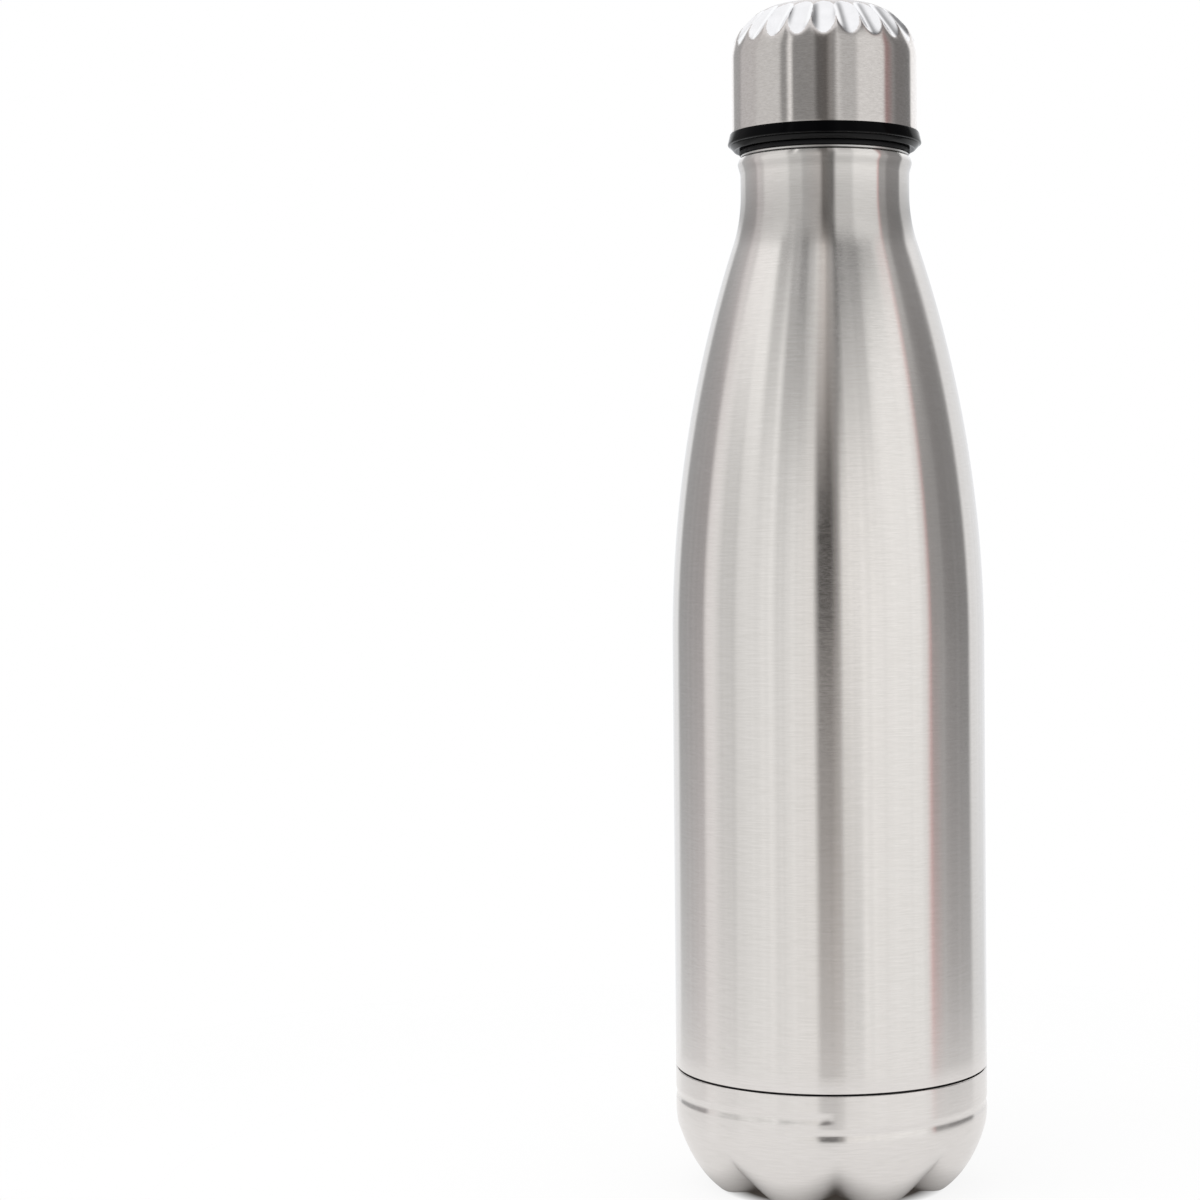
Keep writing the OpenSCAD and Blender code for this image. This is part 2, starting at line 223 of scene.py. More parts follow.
@dataclass(frozen=True)
class Thread:
    """A right-handed thread: a ridge that winds round a wall.

    Heights along the axis are in mm: front_z is where the ridge crosses the flask's front, and it
    runs from first_z to last_z. height is how far it moves the wall, outwards where positive.
    half_width and flat are half the widths of the ridge and of its crest, and taper is the turn
    in degrees over which an end fades.
    """

    pitch: float
    front_z: float
    first_z: float
    last_z: float
    height: float
    half_width: float
    flat: float
    taper: float = 25.0

    def lift(self, angle: np.ndarray, z: np.ndarray) -> np.ndarray:
        """How far the thread moves the wall at each point.

        Args:
            angle: Turn from the front, anticlockwise from above, in degrees.
            z: Height in mm.

        Returns:
            The distance in mm, with the sign of height.
        """
        total = np.zeros_like(z)
        low = math.floor((self.first_z - self.front_z) / self.pitch) - 1
        high = math.ceil((self.last_z - self.front_z) / self.pitch) + 1
        fade = self.pitch * self.taper / 360
        for turn in range(low, high + 1):
            centre = self.front_z + self.pitch * (angle / 360 + turn)
            off = np.clip((np.abs(z - centre) - self.flat) / (self.half_width - self.flat), 0, 1)
            ridge = np.cos(off * math.pi / 2) ** 2
            first = np.clip((centre - self.first_z) / fade, 0, 1)
            last = np.clip((self.last_z - centre) / fade, 0, 1)
            total = np.maximum(total, ridge * np.sqrt(first * last))
        return total * self.height


def threaded(piece: Piece, thread: Thread, low_r: float = 0.0, high_r: float = math.inf) -> None:
    """Raises a thread on a wall of a piece.

    Args:
        piece: The piece, with rows close enough to carry the ridge.
        thread: The thread.
        low_r: Distance from the axis in mm past which the wall takes part.
        high_r: Distance up to which it does.
    """
    points = points_of(piece)
    r = np.hypot(points[:, 0], points[:, 1])
    angle = np.degrees(np.arctan2(points[:, 0], -points[:, 1]))
    lift = thread.lift(angle, points[:, 2]) * ((r > low_r) & (r < high_r))
    scale = np.divide(r + lift, r, out=np.ones_like(r), where=r > SAME_POINT)
    moved(piece, points * np.stack([scale, scale, np.ones_like(r)], axis=1))


# Finishes


class Board:
    """A board of shader nodes, added and linked in a few words."""

    def __init__(self, tree: bpy.types.NodeTree) -> None:
        """Takes the node tree to work on."""
        self.tree = tree

    def put(self, node: bpy.types.Node, key: str | int, value: object) -> None:
        """Sets an input of a node, or links it where the value is a socket."""
        if isinstance(value, Socket):
            self.tree.links.new(value, node.inputs[key])
        else:
            node.inputs[key].default_value = value

    def add(self, kind: str, *values: object, **inputs: object) -> bpy.types.Node:
        """Adds a node and sets or links its inputs.

        Args:
            kind: Type of the node, without the word ShaderNode before it.
            values: Values of its first inputs, in their order.
            inputs: Values by input name, with _ for a space.

        Returns:
            The node.
        """
        node = self.tree.nodes.new("ShaderNode" + kind)
        for k, value in enumerate(values):
            self.put(node, k, value)
        self.set(node, **inputs)
        return node

    def set(self, node: bpy.types.Node, **inputs: object) -> None:
        """Sets or links a node's inputs by name, with _ for a space."""
        for key, value in inputs.items():
            self.put(node, key.replace("_", " "), value)

    def figured(self, operation: str, *values: object) -> Socket:
        """The outcome of one sum on these values."""
        node = self.add("Math", *values)
        node.operation = operation
        return node.outputs[0]

    def noise(self, scale: tuple[float, float, float], detail: float, rough: float) -> Socket:
        """Noise over the object, with features per metre along x, y and z."""
        place = self.add("TexCoord").outputs["Object"]
        spread = self.add("Mapping", Vector=place, Scale=scale).outputs["Vector"]
        noise = self.add("TexNoise", Vector=spread, Scale=1.0, Detail=detail, Roughness=rough)
        return noise.outputs["Fac"]

    def ranged(
        self, value: Socket, a: float, b: float, low: float = 0.0, high: float = 1.0,
        smooth: bool = False,
    ) -> Socket:
        """A value's span from a to b, spread from low to high, with soft ends where smooth."""
        node = self.add("MapRange", value, a, b, low, high)
        if smooth:
            node.interpolation_type = "SMOOTHSTEP"
        return node.outputs["Result"]

    def blended(
        self, share: float | Socket, a: Colour | Socket, b: Colour | Socket, kind: str = "MIX"
    ) -> Socket:
        """A colour from a to b by share."""
        node = self.add("Mix", share)
        node.data_type = "RGBA"
        node.blend_type = kind
        for k, colour in ((6, a), (7, b)):
            self.put(node, k, colour if isinstance(colour, Socket) else (*colour, 1.0))
        return node.outputs[2]


class Material(Board):
    """The board of a new material, with its usual shader."""

    def __init__(self, name: str) -> None:
        """Makes the material."""
        self.material = bpy.data.materials.new(name)
        self.material.use_nodes = True
        super().__init__(self.material.node_tree)
        self.shader = self.tree.nodes["Principled BSDF"]

    def bumped(self, height: Socket, strength: float, distance: float) -> None:
        """Gives the usual shader a relief of this height, in metres."""
        bump = self.add("Bump", Height=height, Strength=strength, Distance=distance)
        self.set(self.shader, Normal=bump.outputs["Normal"])

    def surfaced(self, share: Socket, a: Socket, b: Socket) -> None:
        """Puts a mix of two shaders, from a to b by share, in place of the usual one."""
        self.tree.nodes.remove(self.shader)
        mix = self.add("MixShader", share, a, b)
        self.put(self.tree.nodes["Material Output"], "Surface", mix.outputs[0])


def shaded(colour: Colour, share: float) -> Colour:
    """The colour at a share of its brightness."""
    return tuple(share * c for c in colour)


@dataclass(frozen=True)
class BrushedSteel:
    """Steel brushed round the axis: fine broken lines, reflections drawn out along the flask."""

    name: str
    light: Colour = (0.78, 0.755, 0.74)
    dark: Colour = (0.71, 0.685, 0.665)
    roughness: float = 0.16
    spread: float = 0.03
    line: float = 4600.0
    length: float = 240.0
    relief: float = 2.5e-6

    def build(self) -> bpy.types.Material:
        """Makes the material."""
        b = Material(self.name)
        lines = b.noise((self.length, self.length, self.line), 4.0, 0.7)
        hair = b.noise((self.length * 4, self.length * 4, self.line), 3.0, 0.7)
        blotch = b.noise((28.0, 28.0, 35.0), 2.0, 0.5)
        half = self.spread / 2
        fine = b.ranged(hair, *NOISE, -self.spread, self.spread)
        soft = b.ranged(blotch, *NOISE, self.roughness - half, self.roughness + half)
        tangent = b.add("Tangent")
        tangent.direction_type = "RADIAL"
        tangent.axis = "Z"
        b.set(
            b.shader,
            Base_Color=b.blended(b.ranged(lines, *NOISE), self.dark, self.light),
            Metallic=1.0,
            Anisotropic=1.0,
            Anisotropic_Rotation=0.25,
            Roughness=b.figured("ADD", fine, soft),
            Tangent=tangent.outputs[0],
        )
        b.bumped(hair, 1.0, self.relief)
        return b.material


@dataclass(frozen=True)
class PolishedSteel:
    """Steel cut bright, with a faint cloud of fine wear."""

    name: str
    colour: Colour = (0.86, 0.86, 0.87)
    roughness: float = 0.16

    def build(self) -> bpy.types.Material:
        """Makes the material."""
        b = Material(self.name)
        wear = b.noise((260.0, 260.0, 260.0), 4.0, 0.6)
        b.set(
            b.shader,
            Base_Color=b.blended(b.ranged(wear, *NOISE), shaded(self.colour, 0.93), self.colour),
            Metallic=1.0,
            Roughness=b.ranged(wear, 0.35, 0.7, self.roughness, self.roughness * 1.5),
        )
        b.bumped(b.noise((300.0, 300.0, 300.0), 2.0, 0.5), 0.2, 8e-6)
        return b.material


@dataclass(frozen=True)
class DrawnSteel:
    """Plain drawn steel of the inner pieces, with faint draw lines and heat stain."""

    name: str
    colour: Colour = (0.62, 0.61, 0.6)
    warm: Colour = (0.5766, 0.5368, 0.48)
    roughness: float = 0.36

    def build(self) -> bpy.types.Material:
        """Makes the material."""
        b = Material(self.name)
        lines = b.noise((900.0, 900.0, 25.0), 3.0, 0.6)
        stain = b.noise((35.0, 35.0, 18.0), 3.0, 0.5)
        b.set(
            b.shader,
            Base_Color=b.blended(b.ranged(stain, 0.55, 0.8, 0.0, 0.6), self.colour, self.warm),
            Metallic=1.0,
            Roughness=b.ranged(lines, *NOISE, self.roughness - 0.06, self.roughness + 0.08),
        )
        b.bumped(lines, 0.4, 6e-6)
        return b.material


@dataclass(frozen=True)
class Moulded:
    """Moulded plastic or rubber, with a faint surface and a little dust."""

    name: str
    colour: Colour
    worn: Colour
    roughness: float
    grain: float = 2200.0
    relief: float = 3e-6
    specular: float = 0.5

    def build(self) -> bpy.types.Material:
        """Makes the material."""
        b = Material(self.name)
        grain = b.noise((self.grain,) * 3, 3.0, 0.55)
        dust = b.noise((520.0, 520.0, 760.0), 5.0, 0.75)
        dull = min(self.roughness * 1.7, 0.95)
        b.set(
            b.shader,
            Base_Color=b.blended(b.ranged(dust, 0.62, 0.8), self.colour, self.worn),
            Roughness=b.ranged(dust, 0.4, 0.75, self.roughness, dull),
            Specular_IOR_Level=self.specular,
        )
        b.bumped(grain, 0.35, self.relief)
        return b.material


@dataclass(frozen=True)
class ClearPlastic:
    """Clear moulded plastic, slightly cloudy, with faint flow lines."""

    name: str
    colour: Colour = (0.97, 0.985, 0.985)
    roughness: float = 0.06

    def build(self) -> bpy.types.Material:
        """Makes the material."""
        b = Material(self.name)
        flow = b.noise((90.0, 90.0, 320.0), 3.0, 0.5)
        b.set(
            b.shader,
            Base_Color=b.blended(flow, shaded(self.colour, 0.96), self.colour),
            Transmission_Weight=0.9,
            IOR=1.49,
            Roughness=b.ranged(flow, *NOISE, self.roughness, self.roughness + 0.1),
        )
        b.bumped(flow, 0.2, 2e-5)
        return b.material


@dataclass(frozen=True)
class Foam:
    """Expanded foam: small closed cells."""

    name: str
    colour: Colour = (0.86, 0.84, 0.78)

    def build(self) -> bpy.types.Material:
        """Makes the material."""
        b = Material(self.name)
        place = b.add("TexCoord").outputs["Object"]
        cells = b.add("TexVoronoi", Vector=place, Scale=900.0).outputs["Distance"]
        b.set(
            b.shader,
            Base_Color=b.blended(b.ranged(cells, 0.0, 0.8), self.colour, shaded(self.colour, 0.78)),
            Roughness=0.9,
        )
        b.bumped(cells, 0.6, 2e-4)
        return b.material


class Finishes:
    """All finishes of the flask, each made once."""

    def __init__(self) -> None:
        """Makes every material."""
        self.body = BrushedSteel("steel_brushed_body").build()
        self.base = BrushedSteel(
            "steel_brushed_base", roughness=0.17, spread=0.02, relief=1.2e-6
        ).build()
        self.cap = BrushedSteel(
            "steel_brushed_cap", light=(0.7, 0.67, 0.655), dark=(0.56, 0.53, 0.515),
            spread=0.06, line=3600.0, length=900.0, relief=1.5e-6,
        ).build()
        self.polished = PolishedSteel("steel_polished_flutes").build()
        self.inner = DrawnSteel("steel_drawn_inner").build()
        jet = (0.0015, 0.0015, 0.0018), (0.006, 0.006, 0.007)
        self.black = Moulded("plastic_black_gloss", *jet, 0.12, specular=0.03).build()
        self.bevel = Moulded(
            "plastic_black_bevel", *jet, 0.06, relief=1e-6, specular=0.16
        ).build()
        soot = (0.006, 0.006, 0.007), (0.022, 0.022, 0.024)
        self.silicone = Moulded("silicone_black", *soot, 0.5, grain=3200.0, specular=0.2).build()
        self.clear = ClearPlastic("plastic_clear").build()
        self.foam = Foam("foam_expanded").build()
        umber = (0.2, 0.17, 0.13), (0.34, 0.3, 0.24)
        self.bead = Moulded("glass_solder", *umber, 0.3, grain=1500.0, relief=2e-5).build()


# Pieces


@dataclass(frozen=True)
class Flask:
    """Sizes that several pieces share, in mm, as in the part's source.

    base_thread_z and cap_thread_z are where a wall's thread crosses the flask's front; the thread
    that runs in it crosses half a turn away.
    """

    body_r: float = 35.0
    seam_z: float = 26.5
    shell_z0: float = 26.9
    shoulder_z: float = 121.5
    shoulder_r: float = 284.853
    neck_r: float = 18.9
    throat_r: float = 35.0
    lip_z: float = 230.7
    rim_h: float = 0.5
    shell_wall: float = 0.6
    flask_wall: float = 0.5
    base_wall: float = 0.7
    vacuum_gap: float = 2.2
    glue: float = 0.05
    mouth_r: float = 16.6
    flange_z: float = 231.8
    cap_z: float = 235.5
    cap_r: float = 21.1
    plug_r: float = 15.9
    plug_z: float = 210.8
    base_pitch: float = 3.6
    base_thread_z: float = 18.0
    cap_pitch: float = 3.0
    cap_thread_z: float = 219.1

    def throat(self, curve_r: float, throat_r: float, neck_r: float) -> Point:
        """Height and angle where a shoulder's curve runs into a throat's curve.

        Args:
            curve_r: Radius of the shoulder's curve.
            throat_r: Radius of the throat's curve.
            neck_r: Radius of the neck.

        Returns:
            The height in mm and the angle in degrees.
        """
        across = neck_r + throat_r - (self.body_r - self.shoulder_r)
        rise = math.sqrt((curve_r + throat_r) ** 2 - across**2)
        return self.shoulder_z + rise, math.degrees(math.asin(rise / (curve_r + throat_r)))


@dataclass
class Part:
    """A piece, with the sizes and finishes that it shares with the others."""

    flask: Flask
    finishes: Finishes


@dataclass
class BodyWall(Part):
    """The outer shell: brushed body, shoulder, neck and drinking bead."""

    columns: int = 256
    edge: float = 0.2
    bead_low_z: float = 225.9
    bead_top_r: float = 19.3
    bead_edge: float = 0.75
    swell: tuple[Point, ...] = (
        (0.0, 0.0), (0.5, 0.03), (1.0, 0.12), (1.5, 0.27), (2.0, 0.43), (2.5, 0.55), (2.9, 0.6)
    )
    lap_h: float = 0.7
    lap_low: float = 1.8

    def side(self, depth: float, z0: float, rows: int) -> list[Point]:
        """The wall's side at a depth under the outer surface, from z0 to the throat's end."""
        f = self.flask
        height, angle = f.throat(f.shoulder_r, f.throat_r, f.neck_r)
        shoulder = (f.body_r - f.shoulder_r, f.shoulder_z)
        return [
            *line((f.body_r - depth, z0), (f.body_r - depth, f.shoulder_z), rows),
            *arc(shoulder, f.shoulder_r - depth, 0, angle, 3 * rows),
            *arc((f.neck_r + f.throat_r, height), f.throat_r + depth, 180 + angle, 180, rows),
        ]

    def bead(self, top: float) -> list[Point]:
        """The rolled bead under the lip, from the neck to its upper end."""
        edge = self.bead_edge
        return [
            *((self.flask.neck_r + out, self.bead_low_z + up) for up, out in self.swell),
            *arc((self.bead_top_r - edge, top - edge), edge, 5, 90, 7),
        ]

    def build(self) -> None:
        """Makes, dresses and mounts the wall."""
        f = self.flask
        inner_r = f.mouth_r + f.flask_wall + f.glue
        top = f.lip_z - f.rim_h
        start = f.shell_z0 + self.edge
        profile = [
            (f.body_r - f.shell_wall, f.shell_z0),
            *arc((f.body_r - self.edge, start), self.edge, -90, 0, 4),
            *self.side(0, start, 24),
            *self.bead(top),
            (inner_r, top),
            (inner_r, top - self.lap_h),
            (f.neck_r - f.shell_wall, top - self.lap_low),
            *self.side(f.shell_wall, f.shell_z0, 12)[::-1],
        ]
        piece = turned("body_wall", profile, self.columns, True)
        smoothed(piece, 35)
        piece.data.materials.append(self.finishes.body)
        reported(piece, Body.BODY, Slot.BRUSHED, "outer_shell")


@dataclass
class DrinkingWall(Part):
    """The inner flask, with the rolled thread for the plug in its neck."""

    columns: int = 192
    bottom_z: float = 95.0
    corner_r: float = 9.0
    throat_r: float = 30.0
    rim_out: float = 0.2
    rim_in: float = 0.25
    thread_low: float = 218.5
    thread_high: float = 222.8
    thread_depth: float = 0.45
    thread_room: float = 2.0

    def side(self, depth: float) -> list[Point]:
        """The wall's side at a depth under its outer surface, from the bottom to the neck."""
        f = self.flask
        out_r = f.body_r - f.shell_wall - f.vacuum_gap
        curve_r = f.shoulder_r - f.shell_wall - f.vacuum_gap
        neck_r = f.mouth_r + f.flask_wall
        height, angle = f.throat(curve_r, self.throat_r, neck_r)
        corner = (out_r - self.corner_r, self.bottom_z + self.corner_r)
        throat = (neck_r + self.throat_r, height)
        return [
            *arc(corner, self.corner_r - depth, -90, 0, 12),
            *arc((f.body_r - f.shoulder_r, f.shoulder_z), curve_r - depth, 0, angle, 40),
            *arc(throat, self.throat_r + depth, 180 + angle, 180, 12),
        ]

    def build(self) -> None:
        """Makes, dresses and mounts the inner flask."""
        f = self.flask
        neck_r = f.mouth_r + f.flask_wall
        under = f.lip_z - f.rim_h
        z0 = self.thread_low - self.thread_room
        z1 = self.thread_high + self.thread_room
        profile = [
            (0.0, self.bottom_z),
            *self.side(0),
            *line((neck_r, z0), (neck_r, z1), 32),
            (neck_r, under),
            (f.neck_r, under),
            *arc((f.neck_r - self.rim_out, f.lip_z - self.rim_out), self.rim_out, 0, 90, 4),
            *arc((f.mouth_r + self.rim_in, f.lip_z - self.rim_in), self.rim_in, 90, 180, 5),
            *line((f.mouth_r, z1), (f.mouth_r, z0), 32),
            *self.side(f.flask_wall)[::-1],
            (0.0, self.bottom_z + f.flask_wall),
        ]
        piece = turned("drinking_wall", profile, self.columns, False)
        thread = Thread(
            f.cap_pitch, f.cap_thread_z, self.thread_low, self.thread_high, -self.thread_depth,
            half_width=0.75, flat=0.15,
        )
        threaded(piece, thread, high_r=neck_r + BAND)
        smoothed(piece, 40)
        piece.data.materials.append(self.finishes.inner)
        reported(piece, Body.BODY, Slot.INNER, "inner_flask")


@dataclass
class PetalBase(Part):
    """The pressed base: rolled thread in its wall, eight lobes, flat feet."""

    columns: int = 360
    rows: int = 66
    lobes: int = 8
    turn: float = 2.0
    bowl_z: float = 17.75
    bowl_r: float = 22.0
    foot_r: float = 2.5
    foot_in: float = 17.5
    foot_dip: float = 0.5
    crease_z: float = 14.0
    crease_low: float = 0.8
    crease_r: float = 24.0
    centre_h: float = 5.5
    centre_r: float = 9.0
    dish: float = 0.6
    full: float = 0.85
    soft: float = 0.05
    edge: float = 0.2
    groove_low: float = 17.83
    groove_high: float = 21.61
    groove_depth: float = 0.24

    def centre(self) -> list[Point]:
        """The dished middle of the underside, which lobes and creases share."""
        return [
            (self.centre_r, self.centre_h - self.dish),
            (self.centre_r / 2, self.centre_h - self.dish / 4),
            (0.0, self.centre_h),
        ]

    def lobe_path(self) -> list[Point]:
        """The outline along the middle of a lobe, before the foot is cut flat."""
        c = self.flask.body_r - self.bowl_r
        reach = math.sqrt((self.bowl_r - self.foot_r) ** 2 - (self.bowl_z - self.foot_r) ** 2)
        foot = (c + reach, self.foot_r)
        angle = math.degrees(math.atan2(foot[1] - self.bowl_z, foot[0] - c))
        return [
            *arc((c, self.bowl_z), self.bowl_r, 0, angle, 60),
            *arc(foot, self.foot_r, angle, -90, 16),
            *arc((self.foot_in, self.foot_r - self.foot_dip), self.foot_r, -90, -135, 10),
            *self.centre(),
        ]

    def crease_path(self) -> list[Point]:
        """The outline along a crease."""
        c = self.flask.body_r - self.bowl_r
        angle = math.asin((self.crease_z - self.bowl_z) / self.bowl_r)
        start_r = c + self.bowl_r * math.cos(angle)
        up = self.crease_low + self.crease_r
        centre_r = start_r - math.sqrt(self.crease_r**2 - (up - self.crease_z) ** 2)
        first = math.degrees(math.atan2(self.crease_z - up, start_r - centre_r))
        return [
            *arc((c, self.bowl_z), self.bowl_r, 0, math.degrees(angle), 16),
            *arc((centre_r, up), self.crease_r, first, -86, 60),
            *self.centre(),
        ]

    def pressed(self, points: np.ndarray) -> np.ndarray:
        """Presses the lobes into the turned bowl and flattens their feet.

        Args:
            points: The points of the turned blank, in mm.

        Returns:
            The new points.
        """
        lobe = resampled(self.lobe_path(), self.rows)
        crease = resampled(self.crease_path(), self.rows)
        r = np.hypot(points[:, 0], points[:, 1])
        far = np.hypot(r[:, None] - lobe[:, 0], points[:, 2][:, None] - lobe[:, 1])
        row = far.argmin(axis=1)
        inside = points[:, 2] < self.bowl_z - 1e-3
        angle = np.arctan2(points[:, 1], points[:, 0])
        wave = np.abs(np.sin(self.lobes * (angle - math.radians(self.turn - 90)) / 2))
        base = self.soft**self.full
        share = (wave**2 + self.soft**2) ** (self.full / 2) - base
        share /= (1 + self.soft**2) ** (self.full / 2) - base
        r, z = (crease[row] + (lobe[row] - crease[row]) * share[:, None]).T
        new = np.stack([r * np.cos(angle), r * np.sin(angle), np.maximum(z, 0.0)], axis=1)
        return np.where(inside[:, None], new, points)

    def build(self) -> None:
        """Makes, dresses and mounts the base."""
        f = self.flask
        wall = line((f.body_r, f.seam_z), (f.body_r, self.bowl_z), 40)
        bowl = [tuple(p) for p in resampled(self.lobe_path(), self.rows)]
        piece = turned("petal_base", [*wall, *bowl[1:]], self.columns, False)
        moved(piece, self.pressed(points_of(piece)))
        groove = Thread(
            f.base_pitch, f.base_thread_z, self.groove_low, self.groove_high, -self.groove_depth,
            half_width=1.4, flat=0.1, taper=16.0,
        )
        threaded(piece, groove)
        modified(piece, "SOLIDIFY", thickness=f.base_wall * MM, offset=-1.0, use_even_offset=False)
        modified(
            piece, "BEVEL", width=self.edge * MM, segments=3,
            limit_method="ANGLE", angle_limit=math.radians(60),
        )
        smoothed(piece, 50)
        piece.data.materials.append(self.finishes.base)
        reported(piece, Body.BASE, Slot.BRUSHED, "base_shell")


@dataclass
class SteelCap(Part):
    """The cap's steel shell, with polished flutes round its dome."""

    top_z: float = 265.0
    dome_r: float = 12.0
    crown_a: float = 75.0
    flutes: int = 22
    flute_r: float = 3.9
    low_a: float = 13.0
    high_a: float = 67.0
    below: float = 2.0
    per_flute: int = 28
    wall: float = 0.5
    edge: float = 0.16
    soft: float = 0.34
    first_row: float = 0.5

    def dome(self) -> tuple[Point, float]:
        """Centre of the rounded shoulder, and the crown's radius, in mm."""
        x = self.flask.cap_r - self.dome_r
        a = math.radians(self.crown_a)
        crown_r = (x + self.dome_r * math.cos(a)) / math.cos(a)
        z = self.top_z - crown_r * (1 - math.sin(a)) - self.dome_r * math.sin(a)
        return (x, z), crown_r

    def cut(self, points: np.ndarray) -> tuple[np.ndarray, np.ndarray]:
        """Cuts the flutes into the dome.

        Args:
            points: The points of the turned dome, in mm.

        Returns:
            The new points, and how deep each was cut.
        """
        centre, _ = self.dome()
        low, high = map(np.array, arc(centre, self.dome_r, self.low_a, self.high_a, 1))
        lean = math.atan2(low[0] - high[0], high[1] - low[1])
        out = np.array([math.cos(lean), math.sin(lean)])
        axis = (low + high) / 2 + self.flute_r * out
        angle = np.arctan2(points[:, 1], points[:, 0])
        sector = math.tau / self.flutes
        near = np.round((angle + math.pi / 2) / sector) * sector - math.pi / 2
        r = np.hypot(points[:, 0], points[:, 1])
        radial = r * np.cos(angle - near)
        across = r * np.sin(angle - near)
        height = (radial - axis[0]) * out[0] + (points[:, 2] - axis[1]) * out[1]
        past = height + np.sqrt(np.maximum(self.flute_r**2 - across**2, 0))
        on_dome = points[:, 2] > centre[1] - self.below
        depth = np.where(on_dome, (past + np.hypot(past, self.soft)) / 2, 0)
        radial = radial - depth * out[0]
        x = radial * np.cos(near) - across * np.sin(near)
        y = radial * np.sin(near) + across * np.cos(near)
        return np.stack([x, y, points[:, 2] - depth * out[1]], axis=1), depth

    def build(self) -> None:
        """Makes, dresses and mounts the cap's shell."""
        f = self.flask
        centre, crown_r = self.dome()
        profile = [
            (f.cap_r, f.cap_z),
            *line((f.cap_r, f.cap_z + self.first_row), (f.cap_r, centre[1]), 3),
            *arc(centre, self.dome_r, 0, self.crown_a, 54),
            *arc((0, self.top_z - crown_r), crown_r, self.crown_a, 90, 12),
        ]
        piece = turned("steel_cap", profile, self.flutes * self.per_flute, False)
        points, depth = self.cut(points_of(piece))
        moved(piece, points)
        piece.data.materials.append(self.finishes.cap)
        piece.data.materials.append(self.finishes.polished)
        for face in piece.data.polygons:
            face.material_index = int(min(depth[v] for v in face.vertices) > self.soft / 2)
        modified(piece, "SOLIDIFY", thickness=self.wall * MM, offset=-1.0)
        modified(
            piece, "BEVEL", width=self.edge * MM, segments=2,
            limit_method="ANGLE", angle_limit=math.radians(70),
        )
        smoothed(piece, 60)
        reported(piece, Body.CAP, Slot.BRUSHED, "cap_shell")


@dataclass
class Stopper(Part):
    """The black moulding: sleeve in the cap, glossy flange, threaded plug.

    Each entry of rim is one rounding of the flange's outline, from below: how far its centre lies
    inwards and up from the flange's lower edge, its radius, its first and last angle and its steps.
    """

    columns: int = 256
    flange_r: float = 21.7
    rim: tuple[tuple[float, float, float, float, float, int], ...] = (
        (1.45, 0.2, 0.2, -90, -48, 3),
        (0.62, 0.92, 0.12, -48, -10, 2),
        (0.44, 1.02, 0.08, 150, 90, 2),
        (0.3, 1.42, 0.3, -52, 12, 6),
        (0.72, 3.45, 0.25, 12, 90, 4),
    )
    bevel_w: float = 1.6
    bevel_h: float = 1.45
    bevel_dip: float = -0.2
    sleeve_h: float = 15.0
    sleeve_in: float = 0.55
    sleeve_edge: float = 0.3
    wall: float = 1.6
    plug_edge: float = 1.4
    groove_r0: float = 9.2
    groove_r1: float = 11.8
    groove_h: float = 0.4
    land_r0: float = 9.0
    land_r1: float = 12.4
    land_w: float = 1.7
    thread_low: float = 217.4
    thread_high: float = 226.4
    thread_height: float = 0.45

    def build(self) -> None:
        """Makes, dresses and mounts the stopper."""
        f = self.flask
        sleeve_r = f.cap_r - self.sleeve_in
        top = f.cap_z + self.sleeve_h
        h = self.groove_h
        edge = self.plug_edge
        z0 = self.thread_low - edge
        z1 = self.thread_high + edge
        rim: list[Point] = []
        for inwards, up, r, first, last, steps in self.rim:
            rim += arc((self.flange_r - inwards, f.flange_z + up), r, first, last, steps)
        profile = [
            (0.0, f.plug_z),
            (self.land_r0, f.plug_z),
            *arc((self.groove_r0 + h, f.plug_z), h, 180, 90, 4),
            *arc((self.groove_r1 - h, f.plug_z), h, 90, 0, 4),
            (self.land_r1, f.plug_z),
            *arc((f.plug_r - edge, f.plug_z + edge), edge, -90, 0, 7),
            *line((f.plug_r, z0), (f.plug_r, z1), 90),
            (f.plug_r, f.flange_z),
            (self.flange_r - self.land_w, f.flange_z),
            *rim,
            (sleeve_r, f.cap_z),
            *arc((sleeve_r - self.sleeve_edge, top - self.sleeve_edge), self.sleeve_edge, 0, 90, 3),
            (sleeve_r - self.wall, top),
            (sleeve_r - self.wall, f.cap_z),
            (f.plug_r - self.wall, f.cap_z),
            (f.plug_r - self.wall, f.plug_z + self.wall),
            (0.0, f.plug_z + self.wall),
        ]
        piece = turned("stopper", profile, self.columns, False)
        thread = Thread(
            f.cap_pitch, f.cap_thread_z + f.cap_pitch / 2, self.thread_low, self.thread_high,
            self.thread_height, half_width=0.7, flat=0.2,
        )
        threaded(piece, thread, f.plug_r - BAND, f.plug_r + BAND)
        smoothed(piece, 40)
        piece.data.materials.append(self.finishes.black)
        piece.data.materials.append(self.finishes.bevel)
        for face in piece.data.polygons:
            x, y, z = face.center / MM
            low = f.flange_z < z < f.flange_z + self.bevel_h and face.normal.z < self.bevel_dip
            face.material_index = int(low and math.hypot(x, y) > self.flange_r - self.bevel_w)
        reported(piece, Body.CAP, Slot.BLACK, "plug")


